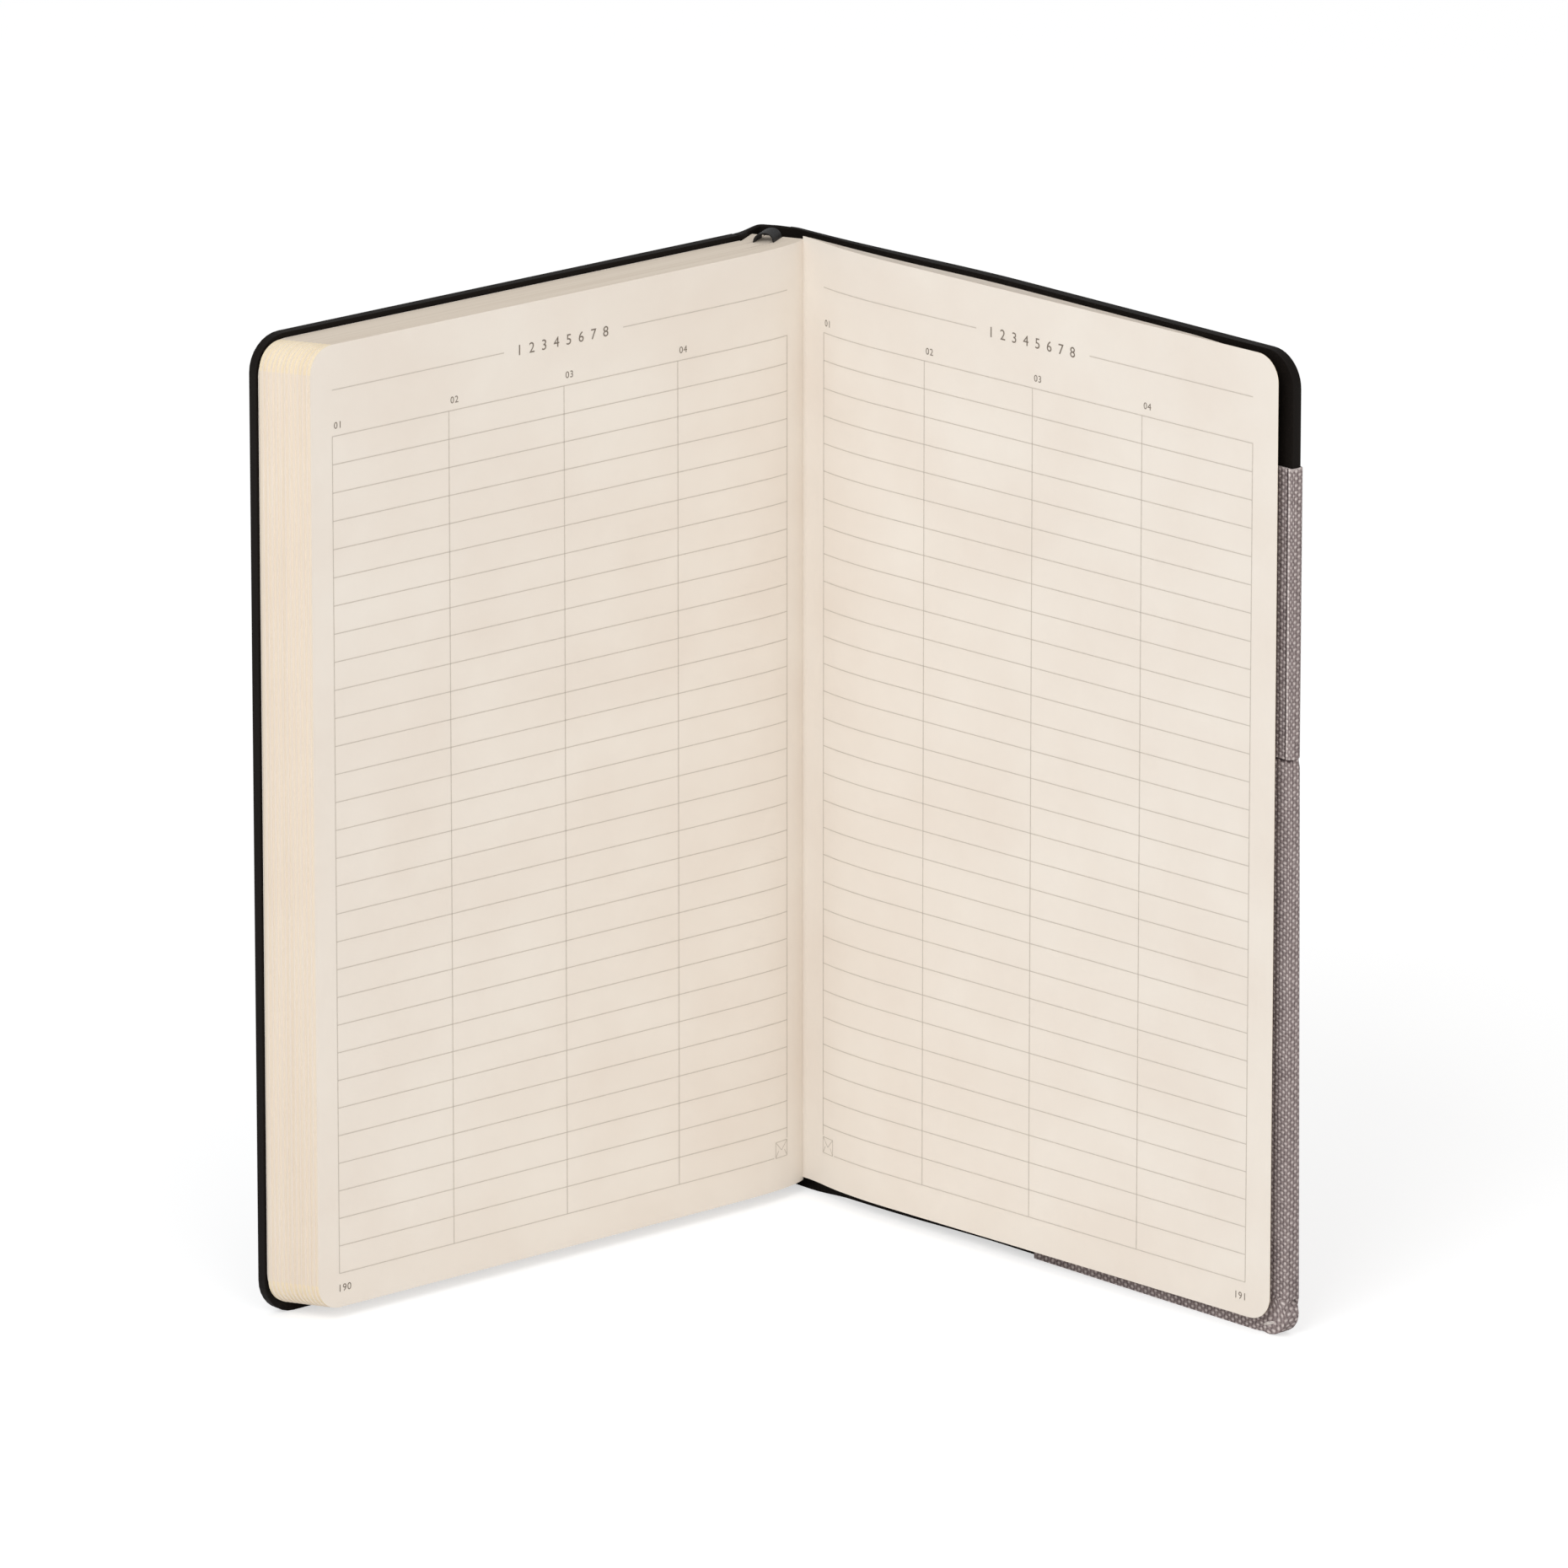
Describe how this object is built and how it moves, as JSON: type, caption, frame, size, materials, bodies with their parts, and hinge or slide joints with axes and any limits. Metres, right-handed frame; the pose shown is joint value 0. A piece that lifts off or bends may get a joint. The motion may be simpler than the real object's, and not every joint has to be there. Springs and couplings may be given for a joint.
{
  "type": "lined notebook",
  "caption": "Soft black notebook standing open in a V: sewn signatures between rounded covers, ribbon bookmark, and a grey canvas pocket wrapped round the back cover's fore-edge.",
  "frame": {"origin": "middle of the spine strip's tail edge, on the surface that the notebook stands on", "axes": "+Z from tail to head; -Y from the spine to where the fore-edge lies when the book is shut; +X across the spine from the front cover's side to the back cover's side"},
  "size_m": [0.177, 0.105, 0.1813],
  "materials": {
    "cover_skin": "matt black coated skin",
    "board": "grey board",
    "spine_cloth": "open white book cloth",
    "page_paper": "uncoated cream paper",
    "end_paper": "heavier uncoated cream paper",
    "sewing_thread": "white thread",
    "ribbon": "charcoal satin ribbon",
    "canvas": "coarse grey woven canvas",
    "seam_thread": "grey thread"
  },
  "bodies": {
    "spine": {"spine_skin": "cover_skin", "spine_card": "board", "spine_cloth": "spine_cloth", "sewn_folds": "page_paper", "sewing_thread_1": "sewing_thread", "sewing_thread_2": "sewing_thread", "sewing_thread_3": "sewing_thread", "sewing_thread_4": "sewing_thread", "sewing_thread_5": "sewing_thread", "ribbon_bookmark": "ribbon"},
    "signature_01": {"signature_01": "page_paper"},
    "signature_02": {"signature_02": "page_paper"},
    "signature_03": {"signature_03": "page_paper"},
    "signature_04": {"signature_04": "page_paper"},
    "signature_05": {"signature_05": "page_paper"},
    "signature_06": {"signature_06": "page_paper"},
    "signature_07": {"signature_07": "page_paper"},
    "signature_08": {"signature_08": "page_paper"},
    "signature_09": {"signature_09": "page_paper"},
    "signature_10": {"signature_10": "page_paper"},
    "signature_11": {"signature_11": "page_paper"},
    "signature_12": {"signature_12": "page_paper"},
    "front_cover": {"front_cover_skin": "cover_skin", "front_board": "board", "front_pastedown": "end_paper"},
    "front_flyleaf": {"front_flyleaf": "end_paper"},
    "back_cover": {"back_cover_skin": "cover_skin", "back_board": "board", "back_pastedown": "end_paper", "pocket_canvas": "canvas", "edge_band": "canvas", "pocket_stitches": "seam_thread", "band_stitches": "seam_thread"},
    "back_flyleaf": {"back_flyleaf": "end_paper"},
    "last_leaf_inner": {"last_leaf_inner": "page_paper"},
    "last_leaf": {"last_leaf": "page_paper"}
  },
  "joints": [
    {"name": "block_lean", "type": "hinge", "parent": "spine", "child": "signature_01", "pos_m": [-0.00457, -0.00805, 0], "axis": [0, 0, 1], "range_deg": [0, 28.75]},
    {"name": "signature_02_lean", "type": "hinge", "parent": "spine", "child": "signature_02", "pos_m": [-0.00374, -0.00805, 0], "axis": [0, 0, 1], "range_deg": [0, 28.75]},
    {"name": "signature_03_lean", "type": "hinge", "parent": "spine", "child": "signature_03", "pos_m": [-0.00291, -0.00805, 0], "axis": [0, 0, 1], "range_deg": [0, 28.75]},
    {"name": "signature_04_lean", "type": "hinge", "parent": "spine", "child": "signature_04", "pos_m": [-0.00208, -0.00805, 0], "axis": [0, 0, 1], "range_deg": [0, 28.75]},
    {"name": "signature_05_lean", "type": "hinge", "parent": "spine", "child": "signature_05", "pos_m": [-0.00125, -0.00805, 0], "axis": [0, 0, 1], "range_deg": [0, 28.75]},
    {"name": "signature_06_lean", "type": "hinge", "parent": "spine", "child": "signature_06", "pos_m": [-0.00042, -0.00805, 0], "axis": [0, 0, 1], "range_deg": [0, 28.75]},
    {"name": "signature_07_lean", "type": "hinge", "parent": "spine", "child": "signature_07", "pos_m": [0.00042, -0.00805, 0], "axis": [0, 0, 1], "range_deg": [0, 28.75]},
    {"name": "signature_08_lean", "type": "hinge", "parent": "spine", "child": "signature_08", "pos_m": [0.00125, -0.00805, 0], "axis": [0, 0, 1], "range_deg": [0, 28.75]},
    {"name": "signature_09_lean", "type": "hinge", "parent": "spine", "child": "signature_09", "pos_m": [0.00208, -0.00805, 0], "axis": [0, 0, 1], "range_deg": [0, 28.75]},
    {"name": "signature_10_lean", "type": "hinge", "parent": "spine", "child": "signature_10", "pos_m": [0.00291, -0.00805, 0], "axis": [0, 0, 1], "range_deg": [0, 28.75]},
    {"name": "signature_11_lean", "type": "hinge", "parent": "spine", "child": "signature_11", "pos_m": [0.00374, -0.00805, 0], "axis": [0, 0, 1], "range_deg": [0, 28.75]},
    {"name": "signature_12_lean", "type": "hinge", "parent": "spine", "child": "signature_12", "pos_m": [0.00457, -0.00805, 0], "axis": [0, 0, 1], "range_deg": [0, 28.75]},
    {"name": "front_cover_hinge", "type": "hinge", "parent": "signature_01", "child": "front_cover", "pos_m": [-0.00719, -0.00701, 0], "axis": [0, 0, -1], "range_deg": [0, 60]},
    {"name": "front_flyleaf_turn", "type": "hinge", "parent": "signature_01", "child": "front_flyleaf", "pos_m": [-0.00524, -0.00808, 0], "axis": [0, 0, -1], "range_deg": [0, 30]},
    {"name": "back_cover_hinge", "type": "hinge", "parent": "spine", "child": "back_cover", "pos_m": [0.00704, 0.0002, 0], "axis": [0, 0, 1], "range_deg": [-65, 25]},
    {"name": "back_flyleaf_turn", "type": "hinge", "parent": "spine", "child": "back_flyleaf", "pos_m": [0.00541, -0.00143, 0], "axis": [0, 0, 1], "range_deg": [-65, 25]},
    {"name": "last_leaf_turn", "type": "hinge", "parent": "spine", "child": "last_leaf_inner", "pos_m": [0.00513, -0.0017, 0], "axis": [0, 0, 1], "range_deg": [-55.25, 21.25]},
    {"name": "last_leaf_bend", "type": "hinge", "parent": "last_leaf_inner", "child": "last_leaf", "pos_m": [0.01992, -0.01196, 0], "axis": [0, 0, 1], "range_deg": [-11.38, 4.38]}
  ],
  "couplings": [
    {"joint": "signature_02_lean", "follows": "block_lean", "ratio": 1},
    {"joint": "signature_03_lean", "follows": "block_lean", "ratio": 1},
    {"joint": "signature_04_lean", "follows": "block_lean", "ratio": 1},
    {"joint": "signature_05_lean", "follows": "block_lean", "ratio": 1},
    {"joint": "signature_06_lean", "follows": "block_lean", "ratio": 1},
    {"joint": "signature_07_lean", "follows": "block_lean", "ratio": 1},
    {"joint": "signature_08_lean", "follows": "block_lean", "ratio": 1},
    {"joint": "signature_09_lean", "follows": "block_lean", "ratio": 1},
    {"joint": "signature_10_lean", "follows": "block_lean", "ratio": 1},
    {"joint": "signature_11_lean", "follows": "block_lean", "ratio": 1},
    {"joint": "signature_12_lean", "follows": "block_lean", "ratio": 1},
    {"joint": "front_flyleaf_turn", "follows": "front_cover_hinge", "ratio": 0.5},
    {"joint": "back_flyleaf_turn", "follows": "back_cover_hinge", "ratio": 1},
    {"joint": "last_leaf_turn", "follows": "back_cover_hinge", "ratio": 0.85},
    {"joint": "last_leaf_bend", "follows": "back_cover_hinge", "ratio": 0.175}
  ]
}
